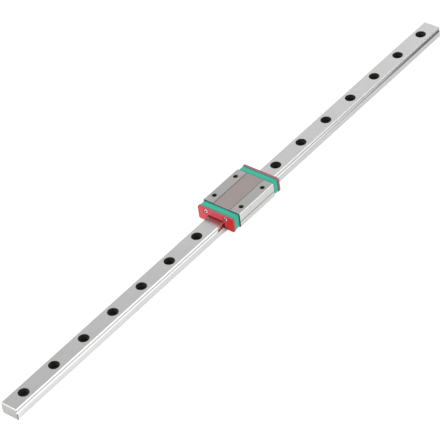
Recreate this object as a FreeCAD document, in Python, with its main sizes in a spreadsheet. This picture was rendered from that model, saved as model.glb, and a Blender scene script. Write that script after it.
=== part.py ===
import FreeCAD, Part
import Sketcher

import math
import os
from types import SimpleNamespace

# A miniature linear guide: a profiled rail and the long ball carriage that rolls along it.
# The origin is the middle of the rail's underside, X runs along the rail and Z is up.

# Driving dimensions, in millimetres apart from the count.
DRIVING_SIZES = {
    "rail_length": 400,
    "rail_width": 12,
    "rail_height": 8,
    "rail_top_chamfer": 0.75,
    "rail_land_taper": 0.15,
    "rail_base_chamfer": 0.4,
    "rail_end_chamfer": 0.5,
    "hole_count": 16,
    "hole_pitch": 25,
    "hole_diameter": 3.5,
    "counterbore_diameter": 6,
    "counterbore_depth": 4.5,
    "ball_diameter": 2.381,
    "ball_inset": 0.44,
    "ball_height": 5.75,
    "raceway_radius": 1.31,
    "raceway_clearance": 0.05,
    "carriage_place": 2.35,
    "carriage_top": 13,
    "block_length": 32.4,
    "block_width": 27,
    "block_bottom": 3,
    "block_top_chamfer": 0.35,
    "block_base_chamfer": 0.8,
    "channel_side_gap": 0.6,
    "channel_roof_gap": 0.6,
    "side_groove_height": 7.25,
    "side_groove_width": 0.44,
    "side_groove_depth": 0.25,
    "relief_width": 12.2,
    "relief_depth": 0.1,
    "border_width": 0.4,
    "border_depth": 0.3,
    "return_bore_diameter": 2.6,
    "return_bore_side": 10.2,
    "top_thread_spacing": 20,
    "top_thread_bore": 2.5,
    "top_thread_mouth": 3.1,
    "top_thread_depth": 3.5,
    "cap_thickness": 4.3,
    "cap_width": 25.8,
    "cap_top": 12.5,
    "cap_bottom": 3.7,
    "cap_corner": 0.8,
    "cap_rail_gap": 0.4,
    "plate_thickness": 0.4,
    "seal_thickness": 1.2,
    "seal_width": 26.4,
    "seal_top": 12.8,
    "seal_bottom": 3.3,
    "seal_corner": 1,
    "wiper_gap": 0.15,
    "wiper_chamfer": 0.4,
    "screw_side": 7.2,
    "screw_height": 10.6,
    "screw_diameter": 1.9,
    "screw_hole": 2.1,
    "screw_length": 9,
    "screw_thread_runout": 0.8,
    "screw_head_diameter": 2.9,
    "screw_head_height": 1.1,
    "screw_seat_diameter": 3.3,
    "drive_slot_length": 1.6,
    "drive_slot_width": 0.5,
    "drive_slot_depth": 0.5,
    "wire_diameter": 0.4,
    "wire_notch": 0.5,
    "wire_side_gap": 0.2,
    "wire_height": 4.25,
    "wire_end_length": 1,
}

# Angles in degrees.
COUNTERSINK_ANGLE = 90
HALF_TURN = 180
FULL_TURN = 360

# The points of a sketched edge, by number.
START, END, CENTRE = 1, 2, 3

# The least length and volume that count as a difference.
LEAST_LENGTH = 1e-4
LEAST_VOLUME = 1e-6


class Size:
    """A length that knows its number and the sheet expression that drives it."""

    def __init__(self, value, text):
        self.value = value
        self.text = text

    def __add__(self, other):
        other = as_size(other)
        return Size(self.value + other.value, f"({self.text} + {other.text})")

    def __sub__(self, other):
        other = as_size(other)
        return Size(self.value - other.value, f"({self.text} - {other.text})")

    def __mul__(self, other):
        other = as_size(other)
        return Size(self.value * other.value, f"({self.text} * {other.text})")

    def __truediv__(self, other):
        other = as_size(other)
        return Size(self.value / other.value, f"({self.text} / {other.text})")

    def __neg__(self):
        return Size(-self.value, f"(0 - {self.text})")

    def root(self):
        return Size(math.sqrt(self.value), f"sqrt({self.text})")


def as_size(term):
    """A plain number as a Size, and a Size as it is."""
    if isinstance(term, Size):
        return term
    return Size(float(term), str(float(term)))


ZERO = as_size(0)

doc = FreeCAD.newDocument("linear_guide")


def make_sheet():
    """Put the driving dimensions in a spreadsheet and give each one back as a Size."""
    sheet = doc.addObject("Spreadsheet::Sheet", "sizes")
    named = {}
    for row, (alias, number) in enumerate(DRIVING_SIZES.items(), start=1):
        sheet.set(f"A{row}", alias)
        sheet.set(f"B{row}", str(number))
        sheet.setAlias(f"B{row}", alias)
        named[alias] = Size(float(number), f"sizes.{alias}")
    doc.recompute()
    return SimpleNamespace(**named)


size = make_sheet()

# Places that several pieces share.
rail_half = size.rail_width / 2
ball_radius = size.ball_diameter / 2
ball_side = rail_half + size.ball_inset
channel_half = rail_half + size.channel_side_gap
channel_roof = size.rail_height + size.channel_roof_gap
return_side = size.return_bore_side
turn_radius = (return_side - ball_side) / 2
turn_side = (return_side + ball_side) / 2
block_end = size.block_length / 2
cap_end = block_end + size.cap_thickness
plate_end = cap_end + size.plate_thickness
seal_end = plate_end + size.seal_thickness
wire_side = rail_half + size.wire_side_gap + size.wire_diameter / 2

# Each arc of a gothic arch is struck from a centre a little past the ball's own,
# along the 45 degree contact line.
arch_shift = (size.raceway_radius - ball_radius - size.raceway_clearance) / math.sqrt(2)
arch_reach = (size.raceway_radius * size.raceway_radius - arch_shift * arch_shift).root() - arch_shift


def lip_rise(wall_distance):
    """Height above the ball's centre at which a groove runs out in a wall that far from that centre."""
    run = wall_distance + arch_shift
    return (size.raceway_radius * size.raceway_radius - run * run).root() - arch_shift


def new_body(label, turned=False):
    """An empty body on the rail's middle."""
    body = doc.addObject("PartDesign::Body", label)
    body.Label = label
    if turned:
        body.Placement.Rotation = FreeCAD.Rotation(FreeCAD.Vector(0, 0, 1), HALF_TURN)
    return body


def drive(feature, **sizes):
    """Bind properties of a feature to the sheet."""
    for name, bound in sizes.items():
        feature.setExpression(name, bound.text)


def place(body, along=ZERO, across=ZERO, up=ZERO):
    """Bind a body's place to the sheet."""
    for axis, bound in zip("xyz", (along, across, up)):
        body.setExpression(f"Placement.Base.{axis}", bound.text)


def origin_feature(body, role):
    """One of the body's own base planes or axes."""
    return next(item for item in body.Origin.OriginFeatures if item.Role == role)


def new_sketch(body, name, plane, across=ZERO, out=ZERO):
    """A sketch on one of the body's base planes, shifted across that plane or along its normal."""
    sketch = body.newObject("Sketcher::SketchObject", name)
    sketch.AttachmentSupport = [(origin_feature(body, plane), "")]
    sketch.MapMode = "FlatFace"
    for axis, bound in (("x", across), ("z", out)):
        sketch.setExpression(f"AttachmentOffset.Base.{axis}", bound.text)
    return sketch


def constrain(sketch, kind, *place_and_size):
    """Add a constraint whose last entry is the Size that drives it."""
    *where, bound = place_and_size
    index = sketch.addConstraint(Sketcher.Constraint(kind, *where, bound.value))
    sketch.setExpression(f"Constraints[{index}]", bound.text)


def arc_middle(start, end, radius):
    """Middle of the short arc from start to end, which turns left where the radius is positive."""
    chord = end - start
    half = chord.Length / 2
    left = FreeCAD.Vector(-chord.y, chord.x, 0).normalize()
    rise = abs(radius) - math.sqrt(radius * radius - half * half)
    return (start + end) / 2 - left * math.copysign(rise, radius)


def draw_loop(sketch, corners):
    """Draw a closed outline of corners (across, up, bend).

    The bend is the radius of the arc that leaves the corner, and None where a straight line does.
    """
    points = [FreeCAD.Vector(across.value, up.value, 0) for across, up, _ in corners]
    edges = []
    for index, (_, _, bend) in enumerate(corners):
        start = points[index]
        end = points[(index + 1) % len(points)]
        first, last = START, END
        if bend is None:
            shape = Part.LineSegment(start, end)
        elif bend.value > 0:
            shape = Part.Arc(start, arc_middle(start, end, bend.value), end)
        else:
            shape = Part.Arc(end, arc_middle(start, end, bend.value), start)
            first, last = END, START
        edges.append((sketch.addGeometry(shape, False), first, last))
    for index, (across, up, bend) in enumerate(corners):
        edge, first, _ = edges[index]
        edge_before, _, last_before = edges[index - 1]
        sketch.addConstraint(Sketcher.Constraint("Coincident", edge_before, last_before, edge, first))
        constrain(sketch, "DistanceX", edge, first, across)
        constrain(sketch, "DistanceY", edge, first, up)
        if bend is not None:
            constrain(sketch, "Radius", edge, bend if bend.value > 0 else -bend)


def draw_circles(sketch, centres, diameter):
    """Draw equal circles at the centres."""
    for across, up in centres:
        middle = FreeCAD.Vector(across.value, up.value, 0)
        normal = FreeCAD.Vector(0, 0, 1)
        circle = sketch.addGeometry(Part.Circle(middle, normal, diameter.value / 2), False)
        constrain(sketch, "DistanceX", circle, CENTRE, across)
        constrain(sketch, "DistanceY", circle, CENTRE, up)
        constrain(sketch, "Diameter", circle, diameter)


def with_mirror(right):
    """A whole outline from the corners of its right half, taken in the order of the loop."""
    left = []
    for index in reversed(range(len(right))):
        across, up, _ = right[index]
        bend = right[index - 1][2] if index else None
        left.append((-across, up, bend))
    return right + left


def both_sides(across, up):
    """A pair of centres left and right of the middle."""
    return [(-across, up), (across, up)]


def add_feature(body, kind, name, profile=None):
    """A feature at the body's tip, with its profile."""
    doc.recompute()
    feature = body.newObject(kind, name)
    if profile is not None:
        feature.Profile = profile
    return feature


def check_cut(body, feature):
    """Stop where a cut has missed the solid."""
    doc.recompute()
    before = feature.BaseFeature.Shape.Volume
    if feature.Shape.Volume > before - LEAST_VOLUME:
        raise RuntimeError(f"{feature.Label} cuts nothing from {body.Label}")


def pad(body, name, profile, length, symmetric=False, reverse=False):
    """Extrude a profile."""
    feature = add_feature(body, "PartDesign::Pad", name, profile)
    feature.SideType = "Symmetric" if symmetric else "One side"
    feature.Reversed = reverse
    drive(feature, Length=length)
    doc.recompute()
    return feature


def pocket(body, name, profile, depth=None, symmetric=False):
    """Cut a profile, through the whole solid where no depth is given."""
    feature = add_feature(body, "PartDesign::Pocket", name, profile)
    feature.SideType = "Symmetric" if symmetric else "One side"
    if depth is None:
        feature.Type = "ThroughAll"
    else:
        drive(feature, Length=depth)
    check_cut(body, feature)
    return feature


def turned_cut(body, name, profile):
    """Cut a profile turned once round its sketch's upright axis."""
    feature = add_feature(body, "PartDesign::Groove", name, profile)
    feature.ReferenceAxis = (profile, ["V_Axis"])
    feature.Angle = FULL_TURN
    check_cut(body, feature)
    return feature


def mirror(body, name, originals, plane):
    """Repeat features on the other side of one of the body's base planes."""
    feature = add_feature(body, "PartDesign::Mirrored", name)
    feature.Originals = originals
    feature.MirrorPlane = (origin_feature(body, plane), [""])
    body.Tip = feature
    check_cut(body, feature)
    return feature


def chamfer(body, name, base, wanted, width):
    """Chamfer the edges of a feature that a test picks."""
    doc.recompute()
    edges = [f"Edge{index}" for index, edge in enumerate(base.Shape.Edges, start=1) if wanted(edge)]
    feature = add_feature(body, "PartDesign::Chamfer", name)
    feature.Base = (base, edges)
    drive(feature, Size=width)
    check_cut(body, feature)
    return feature


def lies_at(edge, along):
    """True where a whole edge lies in the plane across the rail at that place."""
    box = edge.BoundBox
    return max(abs(box.XMin - along), abs(box.XMax - along)) < LEAST_LENGTH


def make_rail():
    """Bar with gothic-arch grooves and a row of counterbored holes."""
    body = new_body("rail")
    lip = lip_rise(size.ball_inset)
    arc = -size.raceway_radius
    shoulder = size.rail_height - size.rail_top_chamfer
    section = new_sketch(body, "rail_section", "YZ_Plane")
    draw_loop(section, with_mirror([
        (rail_half - size.rail_base_chamfer, ZERO, None),
        (rail_half, size.rail_base_chamfer, None),
        (rail_half, size.ball_height - lip, arc),
        (ball_side - arch_reach, size.ball_height, arc),
        (rail_half, size.ball_height + lip, None),
        (rail_half - size.rail_land_taper, shoulder, None),
        (rail_half - size.rail_top_chamfer, size.rail_height, None),
    ]))
    pad(body, "rail_bar", section, size.rail_length, symmetric=True)

    end = size.rail_length / 2
    edge = size.rail_end_chamfer
    wedges = []
    for name, plane, low, high in (
        ("flat", "XZ_Plane", ZERO, size.rail_height),
        ("side", "XY_Plane", -rail_half, rail_half),
    ):
        corners = new_sketch(body, f"end_{name}_corners", plane)
        draw_loop(corners, [(end - edge, high, None), (end, high - edge, None), (end, high, None)])
        draw_loop(corners, [(end - edge, low, None), (end, low, None), (end, low + edge, None)])
        wedges.append(pocket(body, f"end_{name}_chamfers", corners, symmetric=True))
    mirror(body, "other_end_chamfers", wedges, "YZ_Plane")

    first_hole = -size.hole_pitch * (size.hole_count - 1) / 2
    hole_radius = size.hole_diameter / 2
    bore_radius = size.counterbore_diameter / 2
    bore_floor = size.rail_height - size.counterbore_depth
    hole_section = new_sketch(body, "hole_section", "XZ_Plane", across=first_hole)
    draw_loop(hole_section, [
        (ZERO, ZERO, None),
        (hole_radius, ZERO, None),
        (hole_radius, bore_floor, None),
        (bore_radius, bore_floor, None),
        (bore_radius, size.rail_height, None),
        (ZERO, size.rail_height, None),
    ])
    hole = turned_cut(body, "bolt_hole", hole_section)

    row = add_feature(body, "PartDesign::LinearPattern", "bolt_hole_row")
    row.Originals = [hole]
    row.Direction = (origin_feature(body, "X_Axis"), [""])
    row.Mode = "Extent"
    drive(row, Length=size.hole_pitch * (size.hole_count - 1), Occurrences=size.hole_count)
    body.Tip = row
    check_cut(body, row)
    return body


def make_block():
    """Saddle with ball grooves, return bores, tapped holes and a relieved strip on top."""
    body = new_body("carriage_block")
    place(body, along=size.carriage_place)
    half = size.block_width / 2
    lip = lip_rise(size.channel_side_gap - size.ball_inset)
    arc = -size.raceway_radius
    groove_half = size.side_groove_width / 2
    relief_half = size.relief_width / 2
    border_half = size.border_width / 2
    section = new_sketch(body, "block_section", "YZ_Plane")
    draw_loop(section, with_mirror([
        (channel_half, channel_roof, None),
        (channel_half, size.ball_height + lip, arc),
        (ball_side + arch_reach, size.ball_height, arc),
        (channel_half, size.ball_height - lip, None),
        (channel_half, size.block_bottom, None),
        (half - size.block_base_chamfer, size.block_bottom, None),
        (half, size.block_bottom + size.block_base_chamfer, None),
        (half, size.side_groove_height - groove_half, None),
        (half - size.side_groove_depth, size.side_groove_height, None),
        (half, size.side_groove_height + groove_half, None),
        (half, size.carriage_top - size.block_top_chamfer, None),
        (half - size.block_top_chamfer, size.carriage_top, None),
        (relief_half + border_half, size.carriage_top, None),
        (relief_half, size.carriage_top - size.border_depth, None),
        (relief_half - border_half, size.carriage_top - size.relief_depth, None),
    ]))
    pad(body, "block_saddle", section, size.block_length, symmetric=True)

    bores = new_sketch(body, "return_bore_circles", "YZ_Plane")
    draw_circles(bores, both_sides(return_side, size.ball_height), size.return_bore_diameter)
    pocket(body, "return_bores", bores, symmetric=True)

    reach = size.top_thread_spacing / 2
    threads = new_sketch(body, "top_thread_circles", "XY_Plane", out=size.carriage_top)
    draw_circles(threads, both_sides(reach, -reach) + both_sides(reach, reach), size.top_thread_bore)
    holes = add_feature(body, "PartDesign::Hole", "top_threads", threads)
    doc.recompute()
    holes.ThreadType = "None"
    holes.DepthType = "Dimension"
    holes.DrillPoint = "Flat"
    holes.HoleCutType = "Countersink"
    holes.HoleCutCountersinkAngle = COUNTERSINK_ANGLE
    drive(
        holes,
        Diameter=size.top_thread_bore,
        Depth=size.top_thread_depth,
        HoleCutDiameter=size.top_thread_mouth,
    )
    check_cut(body, holes)

    ends = new_sketch(body, "end_thread_circles", "YZ_Plane", out=block_end)
    draw_circles(ends, both_sides(size.screw_side, size.screw_height), size.screw_hole)
    thread_depth = size.screw_length - (plate_end - block_end) + size.screw_thread_runout
    end_threads = pocket(body, "end_threads", ends, depth=thread_depth)
    mirror(body, "other_end_threads", [end_threads], "YZ_Plane")
    return body


def outer_corners(half, bottom, top, corner):
    """Right half of the outside of a cap, plate or seal, from its foot to its rounded top corner."""
    return [
        (half - corner, bottom, corner),
        (half, bottom + corner, None),
        (half, top - corner, corner),
        (half - corner, top, None),
    ]


def plain_window(bottom):
    """Right half of a plain window that clears the rail, from its roof to its foot."""
    window_half = rail_half + size.cap_rail_gap
    window_roof = size.rail_height + size.cap_rail_gap
    return [(window_half, window_roof, None), (window_half, bottom, None)]


def make_end_cap(label, turned):
    """Moulded cap with the half-ring channels that turn the balls round."""
    body = new_body(label, turned)
    place(body, along=size.carriage_place)
    outline = new_sketch(body, f"{label}_outline", "YZ_Plane", out=-block_end)
    outside = outer_corners(size.cap_width / 2, size.cap_bottom, size.cap_top, size.cap_corner)
    draw_loop(outline, with_mirror(plain_window(size.cap_bottom) + outside))
    pad(body, f"{label}_plate", outline, size.cap_thickness, reverse=True)

    bore_radius = size.return_bore_diameter / 2
    inner = turn_radius - bore_radius
    outer = turn_radius + bore_radius
    floor = size.ball_height - bore_radius
    roof = size.ball_height + bore_radius
    turn = new_sketch(body, f"{label}_turn_section", "YZ_Plane", across=turn_side, out=-block_end)
    draw_loop(turn, [
        (inner, floor, None),
        (outer, floor, None),
        (outer, roof, None),
        (inner, roof, None),
    ])
    ball_turn = turned_cut(body, f"{label}_ball_turn", turn)
    mirror(body, f"{label}_other_ball_turn", [ball_turn], "XZ_Plane")

    holes = new_sketch(body, f"{label}_screw_circles", "YZ_Plane", out=-block_end)
    draw_circles(holes, both_sides(size.screw_side, size.screw_height), size.screw_hole)
    pocket(body, f"{label}_screw_holes", holes)

    notch_half = size.wire_notch / 2
    notch_floor = size.wire_height - notch_half
    notch_roof = size.wire_height + notch_half
    notches = new_sketch(body, f"{label}_wire_squares", "YZ_Plane", out=-block_end)
    for side in (wire_side, -wire_side):
        draw_loop(notches, [
            (side - notch_half, notch_floor, None),
            (side + notch_half, notch_floor, None),
            (side + notch_half, notch_roof, None),
            (side - notch_half, notch_roof, None),
        ])
    pocket(body, f"{label}_wire_notches", notches, depth=size.wire_end_length)
    return body


def make_seal_plate(label, turned):
    """Sheet-steel plate that backs a seal and takes the screw heads."""
    body = new_body(label, turned)
    place(body, along=size.carriage_place)
    outline = new_sketch(body, f"{label}_outline", "YZ_Plane", out=-cap_end)
    outside = outer_corners(size.seal_width / 2, size.seal_bottom, size.seal_top, size.seal_corner)
    draw_loop(outline, with_mirror(plain_window(size.seal_bottom) + outside))
    pad(body, f"{label}_sheet", outline, size.plate_thickness, reverse=True)

    holes = new_sketch(body, f"{label}_screw_circles", "YZ_Plane", out=-cap_end)
    draw_circles(holes, both_sides(size.screw_side, size.screw_height), size.screw_hole)
    pocket(body, f"{label}_screw_holes", holes)
    return body


def make_end_seal(label, turned):
    """Wiper whose window follows the rail's section, with a nub in each groove."""
    body = new_body(label, turned)
    place(body, along=size.carriage_place)
    half = size.seal_width / 2
    gap = size.wiper_gap
    window_half = rail_half + gap
    window_roof = size.rail_height + gap
    window_corner = size.rail_top_chamfer + gap / 2
    nub_radius = ball_radius + size.raceway_clearance - gap
    nub_run = size.ball_inset - gap
    nub_rise = (nub_radius * nub_radius - nub_run * nub_run).root()
    window = [
        (window_half - window_corner, window_roof, None),
        (window_half, window_roof - window_corner, None),
        (window_half, size.ball_height + nub_rise, nub_radius),
        (window_half, size.ball_height - nub_rise, None),
        (window_half, size.seal_bottom, None),
    ]
    outline = new_sketch(body, f"{label}_outline", "YZ_Plane", out=-plate_end)
    outside = outer_corners(half, size.seal_bottom, size.seal_top, size.seal_corner)
    draw_loop(outline, with_mirror(window + outside))
    wiper = pad(body, f"{label}_wiper", outline, size.seal_thickness, reverse=True)

    outer_face = -seal_end.value
    inside = half.value - size.seal_corner.value
    chamfer(
        body,
        f"{label}_wiper_lip",
        wiper,
        lambda edge: lies_at(edge, outer_face)
        and max(abs(edge.BoundBox.YMin), abs(edge.BoundBox.YMax)) < inside - LEAST_LENGTH
        and edge.BoundBox.ZMax < channel_roof.value,
        size.wiper_chamfer,
    )

    seats = new_sketch(body, f"{label}_seat_circles", "YZ_Plane", out=-plate_end)
    draw_circles(seats, both_sides(size.screw_side, size.screw_height), size.screw_seat_diameter)
    pocket(body, f"{label}_screw_seats", seats)
    return body


def make_screw(label, turned, across):
    """Screw with a cross recess, its head on the seal's plate and its shank in the block."""
    body = new_body(label, turned)
    away = plate_end if turned else -plate_end
    place(body, along=size.carriage_place + away, across=across, up=size.screw_height)
    shank = size.screw_diameter / 2
    head = size.screw_head_diameter / 2
    height = size.screw_head_height
    section = new_sketch(body, f"{label}_section", "XZ_Plane")
    draw_loop(section, [
        (-height, ZERO, None),
        (size.screw_length, ZERO, None),
        (size.screw_length, shank, None),
        (ZERO, shank, None),
        (ZERO, head, None),
        (-height, head, None),
    ])
    turned_shape = add_feature(body, "PartDesign::Revolution", f"{label}_turned", section)
    turned_shape.ReferenceAxis = (section, ["H_Axis"])
    turned_shape.Angle = FULL_TURN
    doc.recompute()

    arm = size.drive_slot_length / 2
    side = size.drive_slot_width / 2
    cross = new_sketch(body, f"{label}_cross", "YZ_Plane", out=-height)
    draw_loop(cross, with_mirror([
        (side, -arm, None),
        (side, -side, None),
        (arm, -side, None),
        (arm, side, None),
        (side, side, None),
        (side, arm, None),
    ]))
    recess = add_feature(body, "PartDesign::Pocket", f"{label}_recess", cross)
    recess.Reversed = True
    drive(recess, Length=size.drive_slot_depth)
    check_cut(body, recess)
    return body


def make_ball_rows(label, hand):
    """Plain cores of one side's balls, the loaded row in the grooves and the row in the return bore."""
    body = new_body(label)
    place(body, along=size.carriage_place)
    section = new_sketch(body, f"{label}_section", "YZ_Plane")
    centres = [(side * hand, size.ball_height) for side in (ball_side, return_side)]
    draw_circles(section, centres, size.ball_diameter)
    pad(body, f"{label}_rods", section, size.block_length, symmetric=True)
    return body


def make_ball_wire(label, hand):
    """Wire beside the loaded row, its ends held in the caps."""
    body = new_body(label)
    place(body, along=size.carriage_place)
    section = new_sketch(body, f"{label}_section", "YZ_Plane")
    draw_circles(section, [(wire_side * hand, size.wire_height)], size.wire_diameter)
    pad(body, f"{label}_rod", section, size.block_length + size.wire_end_length * 2, symmetric=True)
    return body


def make_all():
    """Every piece of the guide."""
    pieces = [make_rail(), make_block()]
    for end, turned in (("front", False), ("rear", True)):
        pieces.append(make_end_cap(f"end_cap_{end}", turned))
        pieces.append(make_seal_plate(f"seal_plate_{end}", turned))
        pieces.append(make_end_seal(f"end_seal_{end}", turned))
        pieces.append(make_screw(f"cap_screw_{end}_left", turned, size.screw_side))
        pieces.append(make_screw(f"cap_screw_{end}_right", turned, -size.screw_side))
    for side, hand in (("left", 1), ("right", -1)):
        pieces.append(make_ball_rows(f"ball_circuit_{side}", hand))
        pieces.append(make_ball_wire(f"ball_wire_{side}", hand))
    return pieces


def check_document(pieces):
    """Stop where anything in the document has failed."""
    doc.recompute()
    for item in doc.Objects:
        if "Invalid" in item.State or "Error" in item.State:
            raise RuntimeError(f"{item.Label} failed: {item.State}")
    for piece in pieces:
        if piece.Shape.isNull() or not piece.Shape.isValid():
            raise RuntimeError(f"{piece.Label} has no valid solid")


def write_pieces(pieces):
    """Write each piece to a file of its own name."""
    os.makedirs("parts", exist_ok=True)
    for piece in pieces:
        piece.Shape.exportStep(f"parts/{piece.Label}.step")
        box = piece.Shape.BoundBox
        print(
            f"{piece.Label}: {len(piece.Shape.Solids)} solid, {piece.Shape.Volume:.1f} mm3,"
            f" X {box.XMin:.2f} to {box.XMax:.2f}, Y {box.YMin:.2f} to {box.YMax:.2f},"
            f" Z {box.ZMin:.2f} to {box.ZMax:.2f}"
        )


pieces = make_all()
check_document(pieces)
write_pieces(pieces)
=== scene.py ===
"""Looks of a miniature linear guide: a ground steel rail and the ball carriage that rolls along it."""

import logging
import math
from collections.abc import Callable, Iterator
from contextlib import contextmanager
from dataclasses import dataclass, field
from enum import Enum
from functools import partial
from typing import Any, ClassVar

import bmesh
import bpy
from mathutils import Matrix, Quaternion, Vector


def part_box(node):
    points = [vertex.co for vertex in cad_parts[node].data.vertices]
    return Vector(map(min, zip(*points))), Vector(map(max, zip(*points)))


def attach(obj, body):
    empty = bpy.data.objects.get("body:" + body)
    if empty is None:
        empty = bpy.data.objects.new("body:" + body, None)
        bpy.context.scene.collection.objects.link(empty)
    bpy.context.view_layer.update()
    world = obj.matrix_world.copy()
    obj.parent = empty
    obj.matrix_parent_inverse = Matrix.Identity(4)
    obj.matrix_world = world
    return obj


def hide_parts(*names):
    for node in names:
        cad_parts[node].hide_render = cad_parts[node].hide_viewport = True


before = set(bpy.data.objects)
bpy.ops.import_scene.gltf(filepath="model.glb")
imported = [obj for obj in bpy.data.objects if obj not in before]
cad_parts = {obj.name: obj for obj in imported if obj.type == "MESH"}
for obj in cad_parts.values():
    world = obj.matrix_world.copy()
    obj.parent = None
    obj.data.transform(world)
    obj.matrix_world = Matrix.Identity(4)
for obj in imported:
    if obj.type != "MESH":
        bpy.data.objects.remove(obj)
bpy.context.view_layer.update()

log = logging.getLogger("linear_guide")

# Pieces are modelled in millimetres and brought to metres once, when they are finished.
MM = 0.001
# Vertices closer than this, in millimetres, are one vertex.
WELD = 1e-4
# How far, in millimetres, a cutter stands out of what it cuts, and how far two places may differ.
CLEAR = 1.0
NEAR = 1e-3
# Creases sharper than this stay crisp when a piece is shaded smooth.
CREASE_DEG = 28.0
# How much of an axis a face's normal has, from 0 to 1: less than this where the face runs along the axis,
# and more than these where it is tilted to the axis, faces along it or is square to it.
ALONG = 0.1
TILTED = 0.5
FACING = 0.9
SQUARE = 0.99
# How many flats make a plain hole round.
HOLE_SIDES = 40

# Test of a face's middle and normal, or of an edge's two ends, all in millimetres.
Test = Callable[[Vector, Vector], bool]
# The two places between which a level changes, and its values there.
Change = tuple[float, float, float, float]


class Body(Enum):
    """The two bodies of the guide."""

    RAIL = "rail"
    CARRIAGE = "carriage"


class Slot(Enum):
    """The record's material slots."""

    RAIL = "rail_steel"
    BLOCK = "block_steel"
    CAP = "cap_plastic"
    PLATE = "plate_steel"
    SEAL = "seal_rubber"
    SCREW = "screw_steel"
    BALL = "ball_steel"
    WIRE = "wire_steel"


class End(Enum):
    """The carriage's ends, by the way they face along the rail."""

    FRONT = -1
    REAR = 1

    @property
    def label(self) -> str:
        """The word used in names."""
        return self.name.lower()


class Side(Enum):
    """The carriage's sides, by the way they lie across the rail."""

    LEFT = 1
    RIGHT = -1

    @property
    def label(self) -> str:
        """The word used in names."""
        return self.name.lower()


# Modelling


def node_box(node: str) -> tuple[Vector, Vector]:
    """Find where a piece of the frame lies.

    Args:
        node: Name of the piece in the frame.

    Returns:
        Its lowest and highest corners in millimetres.
    """
    low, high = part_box(node)
    return low / MM, high / MM


def only(piece: bpy.types.Object) -> None:
    """Select one object and make it the active one.

    Args:
        piece: The object to select.
    """
    bpy.ops.object.select_all(action="DESELECT")
    piece.select_set(True)
    bpy.context.view_layer.objects.active = piece


@contextmanager
def editing(piece: bpy.types.Object, pick: str = "FACE") -> Iterator[None]:
    """Open a piece in edit mode with nothing selected.

    Args:
        piece: The object to edit.
        pick: What is selected, VERT, EDGE or FACE.

    Yields:
        Nothing, while the piece is open.
    """
    only(piece)
    bpy.ops.object.mode_set(mode="EDIT")
    bpy.ops.mesh.select_mode(type=pick)
    bpy.ops.mesh.select_all(action="DESELECT")
    yield
    bpy.ops.object.mode_set(mode="OBJECT")


def pick_faces(piece: bpy.types.Object, wanted: Test) -> None:
    """Select faces of a piece in edit mode.

    Args:
        piece: The object in edit mode.
        wanted: Test of a face's middle and normal.
    """
    mesh = bmesh.from_edit_mesh(piece.data)
    for face in mesh.faces:
        face.select_set(wanted(face.calc_center_median(), face.normal))
    bmesh.update_edit_mesh(piece.data)


def pick_edges(piece: bpy.types.Object, wanted: Test) -> None:
    """Select edges of a piece in edit mode.

    Args:
        piece: The object in edit mode.
        wanted: Test of an edge's two ends.
    """
    mesh = bmesh.from_edit_mesh(piece.data)
    for edge in mesh.edges:
        edge.select_set(wanted(edge.verts[0].co, edge.verts[1].co))
    bmesh.update_edit_mesh(piece.data)


def named(name: str) -> bpy.types.Object:
    """Name the primitive just added and put its place and size in its mesh.

    Args:
        name: The object's name.

    Returns:
        The object.
    """
    piece = bpy.context.object
    piece.name = name
    piece.data.name = name
    bpy.ops.object.transform_apply(location=True, rotation=True, scale=True)
    return piece


def box_between(name: str, low: Vector, high: Vector) -> bpy.types.Object:
    """Add a box primitive.

    Args:
        name: The object's name.
        low: Its lowest corner.
        high: Its highest corner.

    Returns:
        The new object.
    """
    bpy.ops.mesh.primitive_cube_add(size=1.0, location=(low + high) / 2)
    bpy.context.object.scale = high - low
    return named(name)


def rod_along(name: str, start: Vector, length: float, radius: float, sides: int) -> bpy.types.Object:
    """Add a cylinder primitive that lies along the rail.

    Args:
        name: The object's name.
        start: Middle of its end with the lower X.
        length: Its length.
        radius: Its radius.
        sides: How many flats make it round.

    Returns:
        The new object.
    """
    bpy.ops.mesh.primitive_cylinder_add(
        vertices=sides,
        radius=radius,
        depth=length,
        location=start + Vector((length / 2, 0, 0)),
        rotation=(0, math.pi / 2, 0),
    )
    return named(name)


def turned(name: str, rings: list[tuple[float, float]], sides: int) -> bpy.types.Object:
    """Turn a solid about the upright axis, from a cylinder drawn out ring by ring.

    Args:
        name: The object's name.
        rings: Radius and height of each ring, from the bottom up.
        sides: How many flats make it round.

    Returns:
        The new object.
    """
    (radius, floor), (_, height) = rings[:2]
    bpy.ops.mesh.primitive_cylinder_add(
        vertices=sides,
        radius=radius,
        depth=height - floor,
        location=(0, 0, (floor + height) / 2),
    )
    piece = named(name)
    with editing(piece):
        pick_faces(piece, lambda middle, normal: normal.z > FACING)
        for index, (new_radius, new_height) in enumerate(rings[1:]):
            if index:
                bpy.ops.mesh.extrude_region_move(
                    TRANSFORM_OT_translate={"value": (0, 0, new_height - height)}
                )
            share = new_radius / radius
            bpy.ops.transform.resize(value=(share, share, 1), center_override=(0, 0, new_height))
            radius, height = new_radius, new_height
    return piece


def moved(
    piece: bpy.types.Object, place: Vector, turn: tuple[float, float, float] = (0, 0, 0)
) -> bpy.types.Object:
    """Turn a piece, then carry it to its place.

    Args:
        piece: The object, with its mesh about the origin.
        place: Where the origin goes.
        turn: Turn about X, Y and Z in radians.

    Returns:
        The same object, with its place in its mesh.
    """
    only(piece)
    piece.rotation_euler = turn
    piece.location = place
    bpy.ops.object.transform_apply(location=True, rotation=True, scale=True)
    return piece


def copy_of(piece: bpy.types.Object, name: str) -> bpy.types.Object:
    """Copy an object with a mesh of its own.

    Args:
        piece: The object to copy.
        name: The copy's name.

    Returns:
        The copy.
    """
    only(piece)
    bpy.ops.object.duplicate(linked=False)
    copy = bpy.context.object
    copy.name = name
    copy.data.name = name
    return copy


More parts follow.
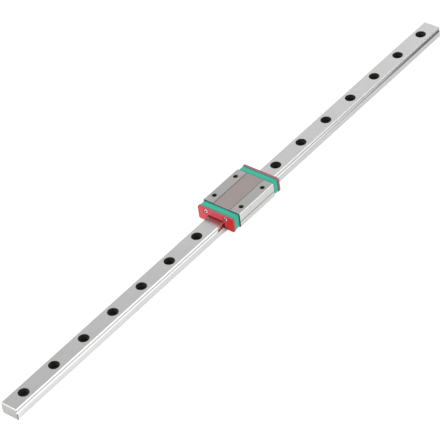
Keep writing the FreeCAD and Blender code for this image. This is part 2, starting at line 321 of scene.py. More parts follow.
def joined(pieces: list[bpy.types.Object], name: str) -> bpy.types.Object:
    """Join objects into one.

    Args:
        pieces: The objects to join.
        name: The name of the whole.

    Returns:
        The one object.
    """
    only(pieces[0])
    for piece in pieces[1:]:
        piece.select_set(True)
    bpy.ops.object.join()
    whole = bpy.context.object
    whole.name = name
    whole.data.name = name
    return whole


def apply_modifier(piece: bpy.types.Object, kind: str, **settings: Any) -> None:
    """Add a modifier and apply it at once.

    Args:
        piece: The object to change.
        kind: The modifier's type.
        settings: Its settings.
    """
    only(piece)
    modifier = piece.modifiers.new(kind.lower(), kind)
    for setting, value in settings.items():
        setattr(modifier, setting, value)
    bpy.ops.object.modifier_apply(modifier=modifier.name)


def combine(piece: bpy.types.Object, tool: bpy.types.Object, how: str = "DIFFERENCE") -> bpy.types.Object:
    """Cut a piece with a tool, or keep only what they share, and clear the tool away.

    Args:
        piece: The object to change.
        tool: The object that cuts it.
        how: The Boolean modifier's operation.

    Returns:
        The changed piece.
    """
    apply_modifier(piece, "BOOLEAN", operation=how, solver="EXACT", object=tool)
    bpy.data.objects.remove(tool)
    return piece


def bevel_edges(piece: bpy.types.Object, wanted: Test, width: float, segments: int = 1) -> None:
    """Chamfer or round chosen edges.

    Args:
        piece: The object to change.
        wanted: Test of an edge's two ends.
        width: How far the bevel runs from the edge.
        segments: One for a chamfer, more for a rounding.
    """
    with editing(piece, "EDGE"):
        pick_edges(piece, wanted)
        bpy.ops.mesh.bevel(offset=width, offset_type="OFFSET", segments=segments, affect="EDGES")


def runs_along(first: Vector, second: Vector) -> bool:
    """True for an edge that runs along the rail."""
    return abs(first.y - second.y) < NEAR and abs(first.z - second.z) < NEAR


def runs_at(height: float, first: Vector, second: Vector) -> bool:
    """True for an edge that runs along the rail at that height."""
    return runs_along(first, second) and abs(first.z - height) < NEAR


def lies_at(along: float, first: Vector, second: Vector) -> bool:
    """True for an edge that lies in the plane across the rail at that place."""
    return abs(first.x - along) < NEAR and abs(second.x - along) < NEAR


# Finishes

# How many finer layers the noise of a grain and of a cloud has, and how strong they are.
GRAIN_DETAIL = 3.0
GRAIN_ROUGHNESS = 0.6
CLOUD_DETAIL = 2.0
# Height in millimetres that a bump of strength 1 stands for.
GRAIN_DEPTH = 0.05
# A fade is multiplied by the grain, which is about a half, so it runs up to this to reach the high colour.
FADE_GAIN = 2.0


def linear(code: str) -> tuple[float, float, float, float]:
    """Turn a colour into what a shader takes.

    Args:
        code: The colour as an sRGB hex value.

    Returns:
        Its linear red, green and blue, and an alpha of 1.
    """
    channels = [int(code[place:place + 2], 16) / 255 for place in (1, 3, 5)]
    flat = [c / 12.92 if c <= 0.04045 else ((c + 0.055) / 1.055) ** 2.4 for c in channels]
    return (*flat, 1.0)


class Graph:
    """The nodes of one material or of the world."""

    def __init__(self, owner: bpy.types.Material | bpy.types.World) -> None:
        """Start with no nodes.

        Args:
            owner: The material or world that the nodes are for.
        """
        owner.use_nodes = True
        self.tree = owner.node_tree
        self.tree.nodes.clear()

    def add(self, kind: str, inputs: dict[str | int, Any] | None = None, **settings: Any) -> bpy.types.Node:
        """Add a node with its settings and links.

        Args:
            kind: The node's type.
            inputs: Input name or number, and the value or the output that fills it.
            settings: The node's own properties.

        Returns:
            The new node.
        """
        node = self.tree.nodes.new(kind)
        for setting, value in settings.items():
            setattr(node, setting, value)
        for socket, value in (inputs or {}).items():
            if isinstance(value, bpy.types.NodeSocket):
                self.tree.links.new(value, node.inputs[socket])
            else:
                node.inputs[socket].default_value = value
        return node

    def work_out(
        self,
        level: dict[str, Any],
        changes: dict[str, tuple[str, Change]],
        joins: list[tuple[str, str, str, str]],
        mixes: list[tuple[str, str, str, str]],
        course: str,
    ) -> None:
        """Lay the nodes that work out named levels from others.

        Args:
            level: The levels that are known, which takes the new ones too.
            changes: For each new level, the one that it follows and how it changes with it.
            joins: Each new level, the operation, and the two levels that it joins.
            mixes: Each new level, the share of the second, and the two levels that it mixes.
            course: How a change runs from its start to its end.
        """
        for name, (source, (start, end, low, high)) in changes.items():
            level[name] = self.add(
                "ShaderNodeMapRange",
                {"Value": level[source], "From Min": start, "From Max": end, "To Min": low, "To Max": high},
                interpolation_type=course,
            ).outputs["Result"]
        for name, operation, first, second in joins:
            level[name] = self.add(
                "ShaderNodeMath", {0: level[first], 1: level[second]}, operation=operation
            ).outputs[0]
        for name, share, first, second in mixes:
            level[name] = self.add(
                "ShaderNodeMix",
                {"Factor": level[share], "A": level[first], "B": level[second]},
                data_type="FLOAT",
            ).outputs["Result"]


@dataclass(frozen=True)
class Finish:
    """A surface with a grain: two colours, a roughness that wanders and a shallow bump.

    The grain is the real spacing of its marks in millimetres along X, Y and Z, so a long grain
    along X draws the lines that a grinding wheel leaves along the rail. The high colour lies on
    the peaks of the grain, in clouds of the given size, and the low one lies between them. A fade
    takes the clouds' place: it names an axis and the places on it between which the low colour
    gives way to the high one.
    """

    name: str
    high: str
    low: str
    metallic: float
    roughness: float
    roughness_swing: float
    grain: tuple[float, float, float]
    bump: float
    cloud: float = 12.0
    ior: float | None = None
    fade: tuple[str, float, float] | None = None

    def material(self) -> bpy.types.Material:
        """Build the material, or find it if it has been built.

        Returns:
            The material.
        """
        made = bpy.data.materials.get(self.name)
        if made:
            return made
        made = bpy.data.materials.new(self.name)
        graph = Graph(made)
        place = graph.add("ShaderNodeTexCoord").outputs["Object"]
        grain_place = graph.add(
            "ShaderNodeMapping",
            {"Vector": place, "Scale": [1 / (size * MM) for size in self.grain]},
        ).outputs["Vector"]
        grain = graph.add(
            "ShaderNodeTexNoise",
            {
                "Vector": grain_place,
                "Scale": 1.0,
                "Detail": GRAIN_DETAIL,
                "Roughness": GRAIN_ROUGHNESS,
            },
        ).outputs["Fac"]
        if self.fade is None:
            spread = graph.add(
                "ShaderNodeTexNoise",
                {"Vector": place, "Scale": 1 / (self.cloud * MM), "Detail": CLOUD_DETAIL},
            ).outputs["Fac"]
        else:
            axis, start, end = self.fade
            reach = graph.add("ShaderNodeSeparateXYZ", {"Vector": place}).outputs[axis]
            spread = graph.add(
                "ShaderNodeMapRange",
                {"Value": reach, "From Min": start * MM, "From Max": end * MM, "To Max": FADE_GAIN},
            ).outputs["Result"]
        blend = graph.add("ShaderNodeMath", {0: grain, 1: spread}, operation="MULTIPLY").outputs[0]
        colour = graph.add(
            "ShaderNodeMixRGB",
            {"Fac": blend, "Color1": linear(self.low), "Color2": linear(self.high)},
        ).outputs["Color"]
        roughness = graph.add(
            "ShaderNodeMapRange",
            {
                "Value": grain,
                "To Min": self.roughness - self.roughness_swing,
                "To Max": self.roughness + self.roughness_swing,
            },
        ).outputs["Result"]
        bump = graph.add(
            "ShaderNodeBump", {"Strength": self.bump, "Distance": GRAIN_DEPTH * MM, "Height": grain}
        ).outputs["Normal"]
        surface = graph.add(
            "ShaderNodeBsdfPrincipled",
            {"Base Color": colour, "Roughness": roughness, "Normal": bump, "Metallic": self.metallic},
        )
        if self.ior is not None:
            surface.inputs["IOR"].default_value = self.ior
        graph.add("ShaderNodeOutputMaterial", {"Surface": surface.outputs["BSDF"]})
        return made


# Hardened rail steel ground along its length: silver, with faint lines that stretch what it mirrors.
# The wheel's marks are about 0.05 mm apart and are drawn 0.3 mm apart, so that they show.
GROUND_RAIL = Finish(
    "hardened_steel_ground", high="#C7C7C6", low="#B7B7B7", metallic=1.0,
    roughness=0.17, roughness_swing=0.05, grain=(45.0, 0.3, 0.3), bump=0.04,
)
# The rail's top is ground with a coarser wheel, so what it mirrors blurs as it stands higher above it.
GROUND_TOP = Finish(
    "hardened_steel_coarse_ground", high="#C7C7C6", low="#B7B7B7", metallic=1.0,
    roughness=0.28, roughness_swing=0.05, grain=(45.0, 0.3, 0.3), bump=0.04,
)
# Raceways are ground finer and lapped by the balls, so they mirror more sharply than the walls.
LAPPED_RACEWAY = Finish(
    "hardened_steel_lapped", high="#C8C8C7", low="#BDBDBD", metallic=1.0,
    roughness=0.10, roughness_swing=0.03, grain=(60.0, 0.25, 0.25), bump=0.02,
)
# The top chamfers are dressed with a coarse wheel: a satin that catches light from all sides, painted paler
# than the other steel as a painted highlight.
SATIN_CHAMFER_PAINTED_HIGHLIGHT = Finish(
    "hardened_steel_satin", high="#DEDEDD", low="#D2D2D2", metallic=0.92,
    roughness=0.25, roughness_swing=0.06, grain=(25.0, 0.3, 0.3), bump=0.06,
)
# The narrow land between chamfer and groove is painted a darker grey: painted shade along the groove's
# upper edge.
LAND_PAINTED_SHADE = Finish(
    "hardened_steel_unground", high="#9A9A98", low="#888886", metallic=1.0,
    roughness=0.32, roughness_swing=0.08, grain=(20.0, 0.3, 0.3), bump=0.10,
)
# The rail is cut to length with an abrasive wheel, which leaves a greyer face with upright lines.
CUT_STEEL = Finish(
    "hardened_steel_abrasive_cut", high="#A9A9A8", low="#959594", metallic=1.0,
    roughness=0.34, roughness_swing=0.08, grain=(0.3, 0.3, 9.0), bump=0.08,
)
# The upright chamfers at the rail's ends are painted a dull grey line: painted shade.
END_EDGE_PAINTED_SHADE = Finish(
    "hardened_steel_stoned", high="#908E8C", low="#7E7C7A", metallic=0.5,
    roughness=0.55, roughness_swing=0.08, grain=(0.35, 0.35, 4.0), bump=0.10,
)
# Scale from heat treatment, left where no wheel reaches: near black, dull and slightly crusted. In the
# screws' cross recess the same black is painted shade.
BLACK_SCALE_AND_PAINTED_SHADE = Finish(
    "steel_black_scale", high="#3A3A39", low="#2C2C2B", metallic=0.0,
    roughness=0.72, roughness_swing=0.10, grain=(0.35, 0.35, 0.35), bump=0.25, ior=1.5,
)
# The bolt holes are black with oxide, painted black at the mouth and dark grey further down: painted shade
# that offsets the light on the upper wall.
HOLE_OXIDE_AND_PAINTED_SHADE = Finish(
    "steel_black_oxide", high="#1D1D1C", low="#4E4E4C", metallic=0.0,
    roughness=0.75, roughness_swing=0.08, grain=(0.35, 0.35, 0.35), bump=0.15,
    ior=1.4, fade=("Z", 3.5, 7.5),
)
# The notches beside the relieved strip are painted a dull brown-grey: painted shade for the shadow lines at
# the strip's edges.
NOTCH_PAINTED_SHADE = Finish(
    "steel_notch_painted_shade", high="#5E5653", low="#4A4441", metallic=0.0,
    roughness=0.66, roughness_swing=0.08, grain=(0.35, 0.35, 0.35), bump=0.20, ior=1.5,
)
# Carriage flanks ground with a coarser wheel: softer than the rail.
GROUND_BLOCK = Finish(
    "bearing_steel_ground", high="#C3C3C1", low="#B4B4B2", metallic=1.0,
    roughness=0.28, roughness_swing=0.07, grain=(30.0, 0.3, 0.3), bump=0.06,
)
# The mounting pads are ground with a cup wheel: a greyer, duller face.
GROUND_PAD = Finish(
    "bearing_steel_cup_ground", high="#B2B2B1", low="#A2A2A1", metallic=1.0,
    roughness=0.34, roughness_swing=0.07, grain=(30.0, 0.3, 0.3), bump=0.06,
)
# The relieved strip is left as it comes from hardening: a dull brown-grey tint over the steel.
TINTED_STEEL = Finish(
    "bearing_steel_heat_tinted", high="#AFA3A0", low="#9E9290", metallic=0.55,
    roughness=0.52, roughness_swing=0.06, grain=(0.5, 0.5, 0.5), bump=0.10,
)
# Acetal moulded in a fine-spark tool: a satin green with a faint orange-peel grain.
GREEN_ACETAL = Finish(
    "acetal_moulded_green", high="#2EBB9F", low="#24AC91", metallic=0.0,
    roughness=0.36, roughness_swing=0.05, grain=(0.35, 0.35, 0.35), bump=0.06, ior=1.48,
)
# Moulded elastomer: a deep red with a soft sheen, painted paler pink over the middle and left as a painted
# sheen, and deep red on the right leg.
RED_ELASTOMER_PAINTED_SHEEN = Finish(
    "elastomer_red_painted_sheen", high="#CF4A52", low="#C4221F", metallic=0.0,
    roughness=0.46, roughness_swing=0.05, grain=(0.3, 0.3, 0.3), bump=0.08,
    ior=1.34, fade=("Y", -9.0, -4.5),
)
# The seal's outer edges are painted a dull mauve red, paler than the face: a painted highlight.
SEAL_EDGE_PAINTED_HIGHLIGHT = Finish(
    "elastomer_trimmed_red", high="#BC6A70", low="#A55A60", metallic=0.0,
    roughness=0.6, roughness_swing=0.06, grain=(0.3, 0.3, 0.3), bump=0.12, ior=1.4,
)
# Sheet steel phosphated before the rubber is put on: an even grey with a low gloss.
PHOSPHATED_SHEET = Finish(
    "steel_sheet_phosphated", high="#8A8684", low="#7A7674", metallic=0.3,
    roughness=0.48, roughness_swing=0.06, grain=(6.0, 0.3, 0.3), bump=0.06,
)
# Nickel over steel: bright, with the ripple of the turned head under the plating.
NICKEL_PLATE = Finish(
    "steel_nickel_plated", high="#D2D1CE", low="#C4C3C0", metallic=1.0,
    roughness=0.14, roughness_swing=0.04, grain=(0.4, 0.4, 0.4), bump=0.04,
)
# Lapped bearing balls: a clear mirror.
CHROME_STEEL = Finish(
    "chrome_steel_lapped", high="#C9C9C9", low="#C2C2C2", metallic=1.0,
    roughness=0.05, roughness_swing=0.02, grain=(0.8, 0.8, 0.8), bump=0.01,
)
# Wire drawn through a die: fine lines along its length.
DRAWN_WIRE = Finish(
    "spring_steel_drawn", high="#B4B4B2", low="#A3A3A1", metallic=1.0,
    roughness=0.28, roughness_swing=0.06, grain=(12.0, 0.12, 0.12), bump=0.05,
)


def dress(piece: bpy.types.Object, finish: Finish, wanted: Test | None = None) -> None:
    """Give a piece a finish, or only some of its faces.

    Args:
        piece: The object, still in millimetres.
        finish: The finish to put on.
        wanted: Test of a face's middle and normal, where only some faces take the finish.
    """
    piece.data.materials.append(finish.material())
    if wanted is None:
        return
    index = len(piece.data.materials) - 1
    for face in piece.data.polygons:
        if wanted(face.center, face.normal):
            face.material_index = index


def hand_over(piece: bpy.types.Object, body: Body, slot: Slot, *nodes: str) -> None:
    """Finish a piece: weld and shade it, bring it to metres and tie it to the frame.

    Args:
        piece: The object in millimetres.
        body: The body that it rides on.
        slot: The record's slot that its finish stands for; not used.
        nodes: The pieces of the frame that it replaces.
    """
    with editing(piece, "VERT"):
        bpy.ops.mesh.select_all(action="SELECT")
        bpy.ops.mesh.remove_doubles(threshold=WELD)
        bpy.ops.mesh.normals_make_consistent(inside=False)
    only(piece)
    piece.scale = (MM, MM, MM)
    bpy.ops.object.transform_apply(location=True, rotation=True, scale=True)
    bpy.ops.object.shade_smooth_by_angle(angle=math.radians(CREASE_DEG))
    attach(piece, body.value)
    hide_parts(*nodes)
    log.info("%s: %d faces, rides on %s", piece.name, len(piece.data.polygons), body.value)


# Pieces


@dataclass
class Raceway:
    """The balls' place and the gothic-arch grooves that they run in."""

    ball_radius: float = 1.1905
    ball_side: float = 6.44
    ball_height: float = 5.75
    rail_half: float = 6.0
    arc_radius: float = 1.31
    clearance: float = 0.05
    sides: int = 96

    @property
    def shift(self) -> float:
        """How far each arc's centre is moved across and up, along the 45 degree contact line."""
        return (self.arc_radius - self.ball_radius - self.clearance) / math.sqrt(2)

    @property
    def half_mouth(self) -> float:
        """Half the height of a groove where it opens in the rail's flank."""
        reach = self.ball_side + self.shift - self.rail_half
        return math.sqrt(self.arc_radius**2 - reach**2) - self.shift

    def cutter(self, side: Side, outward: bool, low: float, high: float) -> bpy.types.Object:
        """Make the pointed rod that leaves a gothic arch where it cuts.

        Args:
            side: The side of the rail.
            outward: True for the carriage's groove, whose arch points away from the rail.
            low: Where the rod starts along the rail.
            high: Where it ends.

        Returns:
            The cutter.
        """
        shift = self.shift
        across = side.value * (self.ball_side + (-shift if outward else shift))
        rods = [
            rod_along(
                f"raceway_{turn}",
                Vector((low, across, self.ball_height + turn * shift)),
                high - low,
                self.arc_radius,
                self.sides,
            )
            for turn in (1, -1)
        ]
        return combine(rods[0], rods[1], "INTERSECT")

    def holds(self, middle: Vector) -> bool:
        """True for a point in or on the walls of a raceway."""
        reach = math.hypot(abs(middle.y) - self.ball_side, middle.z - self.ball_height)
        return reach < self.arc_radius - self.shift


@dataclass
class GuideRail:
    """Ground bar with a ball groove along each side and a row of counterbored bolt holes."""

    raceway: Raceway = field(default_factory=Raceway)
    top_chamfer: float = 0.75
    land_slope: float = 0.15
    base_chamfer: float = 0.4
    end_chamfer: float = 0.5
    hole_count: int = 16
    hole_pitch: float = 25.0
    hole_radius: float = 1.75
    counterbore_radius: float = 3.0
    counterbore_depth: float = 4.5
    rim: float = 0.35
    hole_sides: int = 64

    def __post_init__(self) -> None:
        """Take the bar's size from the frame."""
        self.low, self.high = node_box("rail")

    def bar(self) -> bpy.types.Object:
        """Model the profiled bar.

        Returns:
            The bar without its holes.
        """
        bar = box_between("guide_rail", self.low, self.high)
        for height, chamfer in ((self.high.z, self.top_chamfer), (self.low.z, self.base_chamfer)):
            bevel_edges(bar, partial(runs_at, height), chamfer)
        for side in Side:
            groove = self.raceway.cutter(side, False, self.low.x - CLEAR, self.high.x + CLEAR)
            combine(bar, groove)
        shoulder = self.high.z - self.top_chamfer
        with editing(bar, "EDGE"):
            pick_edges(bar, partial(runs_at, shoulder))
            share = 1 - self.land_slope / self.high.y
            bpy.ops.transform.resize(value=(1, share, 1), center_override=(0, 0, shoulder))
        self.break_ends(bar)
        return bar

    def break_ends(self, bar: bpy.types.Object) -> None:
        """Cut the edges round both ends of the bar off at 45 degrees.

        Args:
            bar: The bar to cut.
        """
        outward = [Vector((0, step, rise)) for step, rise in ((0, 1), (0, -1), (1, 0), (-1, 0))]
        for end, along in ((End.FRONT, self.low.x), (End.REAR, self.high.x)):
            start = along - end.value * self.end_chamfer
            for way in outward:
                corner = self.high if sum(way) > 0 else self.low
                with editing(bar):
                    bpy.ops.mesh.select_all(action="SELECT")
                    bpy.ops.mesh.bisect(
                        plane_co=(start, corner.y, corner.z),
                        plane_no=(way + Vector((end.value, 0, 0))).normalized(),
                        use_fill=True,
                        clear_outer=True,
                    )

    def hole_row(self) -> bpy.types.Object:
        """Model the cutter for one bolt hole and repeat it along the rail.

        Returns:
            The row of cutters.
        """
        top = self.high.z
        floor = top - self.counterbore_depth
        hole = turned(
            "bolt_holes",
            [
                (self.hole_radius + self.rim, -CLEAR),
                (self.hole_radius + self.rim, 0.0),
                (self.hole_radius, self.rim),
                (self.hole_radius, floor),
                (self.counterbore_radius, floor),
                (self.counterbore_radius, top - self.rim),
                (self.counterbore_radius + self.rim, top),
                (self.counterbore_radius + self.rim, top + CLEAR),
            ],
            self.hole_sides,
        )
        moved(hole, Vector((-self.hole_pitch * (self.hole_count - 1) / 2, 0, 0)))
        apply_modifier(
            hole,
            "ARRAY",
            count=self.hole_count,
            use_relative_offset=False,
            use_constant_offset=True,
            constant_offset_displace=(self.hole_pitch, 0, 0),
        )
        return hole

    def in_hole(self, middle: Vector) -> bool:
        """Tell whether a face is inside a bolt hole.

        Args:
            middle: The face's middle.

        Returns:
            True between the rims of a hole.
        """
        along = (middle.x % self.hole_pitch) - self.hole_pitch / 2
        inside = math.hypot(along, middle.y) < self.counterbore_radius + self.rim
        return inside and self.rim < middle.z < self.high.z - NEAR

    def build(self) -> None:
        """Model the rail, dress it and hand it over."""
        rail = combine(self.bar(), self.hole_row())
        ends = (self.low.x, self.high.x)
        shoulder = self.high.z - self.top_chamfer
        lip = self.raceway.ball_height + self.raceway.half_mouth
        dress(rail, GROUND_RAIL)
        dress(rail, GROUND_TOP, lambda middle, normal: middle.z > self.high.z - NEAR)
        dress(
            rail,
            LAPPED_RACEWAY,
            lambda middle, normal: abs(normal.x) < ALONG and abs(middle.y) < self.high.y - NEAR
            and abs(middle.z - self.raceway.ball_height) < self.raceway.arc_radius
            and abs(middle.y) > self.counterbore_radius + CLEAR,
        )
        # The chamfers take the paler satin, a painted highlight.
        dress(
            rail,
            SATIN_CHAMFER_PAINTED_HIGHLIGHT,
            lambda middle, normal: shoulder < middle.z < self.high.z - NEAR
            or abs(middle.y) > self.high.y - self.base_chamfer and NEAR < middle.z < self.base_chamfer,
        )
        # The land is painted darker: painted shade.
        dress(
            rail,
            LAND_PAINTED_SHADE,
            lambda middle, normal: abs(normal.x) < ALONG and lip - NEAR < middle.z < shoulder,
        )
        dress(rail, CUT_STEEL, lambda middle, normal: min(abs(middle.x - end) for end in ends) < NEAR)
        # The ends' upright chamfers are painted grey: painted shade.
        dress(
            rail,
            END_EDGE_PAINTED_SHADE,
            lambda middle, normal: abs(normal.x) > TILTED and abs(normal.y) > TILTED
            and abs(middle.x) > self.high.x - self.end_chamfer,
        )
        # The ends' top chamfers take the paler satin, a painted highlight.
        dress(
            rail,
            SATIN_CHAMFER_PAINTED_HIGHLIGHT,
            lambda middle, normal: abs(normal.x) > TILTED and normal.z > TILTED
            and abs(middle.x) > self.high.x - self.end_chamfer,
        )
        # The bolt holes are oxide black, graded as painted shade.
        dress(rail, HOLE_OXIDE_AND_PAINTED_SHADE, lambda middle, normal: self.in_hole(middle))
        hand_over(rail, Body.RAIL, Slot.RAIL, "rail")


@dataclass
class CarriageBlock:
    """Hardened saddle with ball grooves, return bores, tapped holes and a relieved strip on its top."""

    raceway: Raceway = field(default_factory=Raceway)
    top_chamfer: float = 0.35
    base_chamfer: float = 0.8
    end_break: float = 0.2
    channel_half: float = 6.6
    channel_roof: float = 8.6
    side_groove_height: float = 7.25
    side_groove_half: float = 0.22
    side_groove_depth: float = 0.25
    relief_half: float = 6.1
    relief_depth: float = 0.1
    border_half: float = 0.2
    border_tip: float = 0.02
    border_depth: float = 0.3
    return_side: float = 10.2
    return_radius: float = 1.3
    return_sides: int = 48
    thread_spacing: float = 20.0
    thread_crest: float = 1.25
    thread_root: float = 1.5
    thread_pitch: float = 0.5
    thread_mouth: float = 1.52
    thread_depth: float = 3.5
    screw_side: float = 7.2
    screw_height: float = 10.6
    screw_hole_radius: float = 1.05
    screw_hole_depth: float = 5.1
    screw_hole_sides: int = 32

    def __post_init__(self) -> None:
        """Take the block's size from the frame."""
        self.low, self.high = node_box("carriage_block")
        self.middle = (self.low.x + self.high.x) / 2
        self.length = self.high.x - self.low.x

    @property
    def turn_radius(self) -> float:
        """Radius of the turns that join a ball groove to its return bore."""
        return (self.return_side - self.raceway.ball_side) / 2

    def saddle(self) -> bpy.types.Object:
        """Model the saddle's outer form.

        Returns:
            The block with chamfered edges and a shallow groove along each flank.
        """
        block = box_between("carriage_saddle", self.low, self.high)
        for height, chamfer in ((self.high.z, self.top_chamfer), (self.low.z, self.base_chamfer)):
            bevel_edges(block, partial(runs_at, height), chamfer)
        for end in (self.low.x, self.high.x):
            bevel_edges(block, partial(lies_at, end), self.end_break)
        heights = [self.side_groove_height + step * self.side_groove_half for step in (-1, 0, 1)]
        with editing(block, "EDGE"):
            for height in heights:
                bpy.ops.mesh.select_all(action="SELECT")
                bpy.ops.mesh.bisect(plane_co=(0, 0, height), plane_no=(0, 0, 1))
        for side in Side:
            with editing(block, "EDGE"):
                pick_edges(
                    block,
                    lambda first, second: runs_at(self.side_groove_height, first, second)
                    and abs(first.y - side.value * self.high.y) < NEAR,
                )
                bpy.ops.transform.translate(value=(0, -side.value * self.side_groove_depth, 0))
        return block

    def border(self, side: Side) -> bpy.types.Object:
        """Make the cutter of the notch that bounds the relieved strip on one side.

        Args:
            side: The side of the block.

        Returns:
            The cutter, a bar with its lower edges drawn together to a point.
        """
        across = side.value * self.relief_half
        floor = self.high.z - self.border_depth
        slope = (self.border_half - self.border_tip) / self.border_depth
        reach = self.border_half + slope * CLEAR
        notch = box_between(
            "border",
            Vector((self.low.x - CLEAR, across - reach, floor)),
            Vector((self.high.x + CLEAR, across + reach, self.high.z + CLEAR)),
        )
        with editing(notch):
            pick_faces(notch, lambda middle, normal: normal.z < -FACING)
            share = self.border_tip / reach
            bpy.ops.transform.resize(value=(1, share, 1), center_override=(self.middle, across, floor))
        return notch

    def tapped_hole(self) -> bpy.types.Object:
        """Model the cutter of a tapped hole, its thread drawn as rings a pitch apart.

        Returns:
            The cutter, with the block's top at height zero.
        """
        flank = self.thread_root - self.thread_crest
        turns = int((self.thread_depth - flank) / self.thread_pitch) - 1
        rings = [(self.thread_crest, -self.thread_depth)]
        for turn in range(turns):
            floor = -self.thread_depth + (turn + 1) * self.thread_pitch
            rings += [
                (self.thread_crest, floor - self.thread_pitch / 4),
                (self.thread_root, floor + self.thread_pitch / 4),
                (self.thread_crest, floor + self.thread_pitch / 2),
            ]
        mouth = self.thread_mouth
        rings += [(self.thread_crest, self.thread_crest - mouth), (mouth, 0.0), (mouth, CLEAR)]
        return turned("tapped_hole", rings, HOLE_SIDES)

    def cutters(self) -> Iterator[bpy.types.Object]:
        """Make every tool that cuts the block, one at a time.

        Yields:
            The next cutter.
        """
        low, high = self.low, self.high
        top = high.z
        ends = (low.x - CLEAR, high.x + CLEAR)
        yield box_between(
            "channel",
            Vector((ends[0], -self.channel_half, low.z - CLEAR)),
            Vector((ends[1], self.channel_half, self.channel_roof)),
        )
        yield box_between(
            "relief",
            Vector((ends[0], -self.relief_half, top - self.relief_depth)),
            Vector((ends[1], self.relief_half, top + CLEAR)),
        )
        for side in Side:
            yield self.border(side)
            yield self.raceway.cutter(side, True, *ends)
            yield rod_along(
                "return_bore",
                Vector((ends[0], side.value * self.return_side, self.raceway.ball_height)),
                ends[1] - ends[0],
                self.return_radius,
                self.return_sides,
            )
            for end in End:
                reach = self.screw_hole_depth
                start = low.x - CLEAR if end is End.FRONT else high.x - reach
                yield rod_along(
                    "screw_hole",
                    Vector((start, side.value * self.screw_side, self.screw_height)),
                    reach + CLEAR,
                    self.screw_hole_radius,
                    self.screw_hole_sides,
                )
                place = Vector((end.value, side.value, 0)) * self.thread_spacing / 2
                yield moved(self.tapped_hole(), place + Vector((self.middle, 0, top)))

    def in_thread(self, middle: Vector) -> bool:
        """Tell whether a face is inside a tapped hole.

        Args:
            middle: The face's middle.

        Returns:
            True below the mouth of a hole.
        """
        reach = self.thread_spacing / 2
        away = math.hypot(abs(middle.x - self.middle) - reach, abs(middle.y) - reach)
        return away < self.thread_root + NEAR and middle.z < self.high.z - NEAR

    def build(self) -> None:
        """Model the block, dress it and hand it over."""
        block = self.saddle()
        for cutter in self.cutters():
            combine(block, cutter)
        top = self.high.z
        dress(block, GROUND_BLOCK)
        dress(block, GROUND_PAD, lambda middle, normal: abs(middle.z - top) < NEAR)
        # The top chamfers take the paler satin, a painted highlight.
        dress(
            block,
            SATIN_CHAMFER_PAINTED_HIGHLIGHT,
            lambda middle, normal: top - self.top_chamfer < middle.z < top - NEAR
            and abs(middle.y) > self.high.y - self.top_chamfer,
        )
        dress(
            block,
            TINTED_STEEL,
            lambda middle, normal: abs(middle.y) < self.relief_half
            and abs(middle.z - top + self.relief_depth) < NEAR,
        )
        # The notches are painted brown-grey: painted shade.
        dress(
            block,
            NOTCH_PAINTED_SHADE,
            lambda middle, normal: abs(abs(middle.y) - self.relief_half) < self.border_half
            and top - self.border_depth - NEAR < middle.z < top - NEAR and abs(normal.z) < SQUARE,
        )
        dress(
            block,
            BLACK_SCALE_AND_PAINTED_SHADE,
            lambda middle, normal: abs(normal.x) > TILTED
            or self.in_thread(middle)
            or abs(middle.y) > self.high.y - self.side_groove_depth
            and abs(middle.z - self.side_groove_height) < self.side_groove_half,
        )
        dress(
            block,
            LAPPED_RACEWAY,
            lambda middle, normal: abs(normal.x) < ALONG and abs(middle.y) > self.channel_half + NEAR
            and self.raceway.holds(middle),
        )
        hand_over(block, Body.CARRIAGE, Slot.BLOCK, "carriage_block")


@dataclass
class EndPlate:
    """A plate with rounded corners on one end of the block, over the rail and under two screws."""

    node_stem: ClassVar[str]
    shape_stem: ClassVar[str]
    end: End
    block: CarriageBlock
    rail: GuideRail
    corner: float = 1.0
    corner_segments: int = 6
    edge: float = 0.15
    edge_segments: int = 2
    rail_gap: float = 0.4

    def __post_init__(self) -> None:
        """Take the plate's size from the frame."""
        self.node = f"{self.node_stem}_{self.end.label}"
        self.low, self.high = node_box(self.node)
        ends = (self.low.x, self.high.x)
        self.outer, self.inner = ends if self.end is End.FRONT else ends[::-1]

    def slab(self, *broken: float) -> bpy.types.Object:
        """Model the plate before anything is cut out of it.

        Args:
            broken: Where along the rail the faces lie whose edges are broken.

        Returns:
            The plate with rounded corners.
        """
        slab = box_between(f"{self.shape_stem}_{self.end.label}", self.low, self.high)
        bevel_edges(slab, runs_along, self.corner, self.corner_segments)
        for place in broken:
            bevel_edges(slab, partial(lies_at, place), self.edge, self.edge_segments)
        return slab

    def window(self) -> bpy.types.Object:
        """Model the cutter of the window that lets the plate pass over the rail.

        Returns:
            The cutter, a plain box.
        """
        gap = self.rail_gap
        return box_between(
            "window",
            Vector((self.low.x - CLEAR, self.rail.low.y - gap, self.low.z - CLEAR)),
            Vector((self.high.x + CLEAR, self.rail.high.y + gap, self.rail.high.z + gap)),
        )

    def screw_hole(self, side: Side, radius: float) -> bpy.types.Object:
        """Make the cutter of the hole for one screw.

        Args:
            side: The side that the screw is on.
            radius: The hole's radius.

        Returns:
            The cutter.
        """
        start = Vector((self.low.x - CLEAR, side.value * self.block.screw_side, self.block.screw_height))
        return rod_along("hole", start, self.high.x - self.low.x + 2 * CLEAR, radius, HOLE_SIDES)


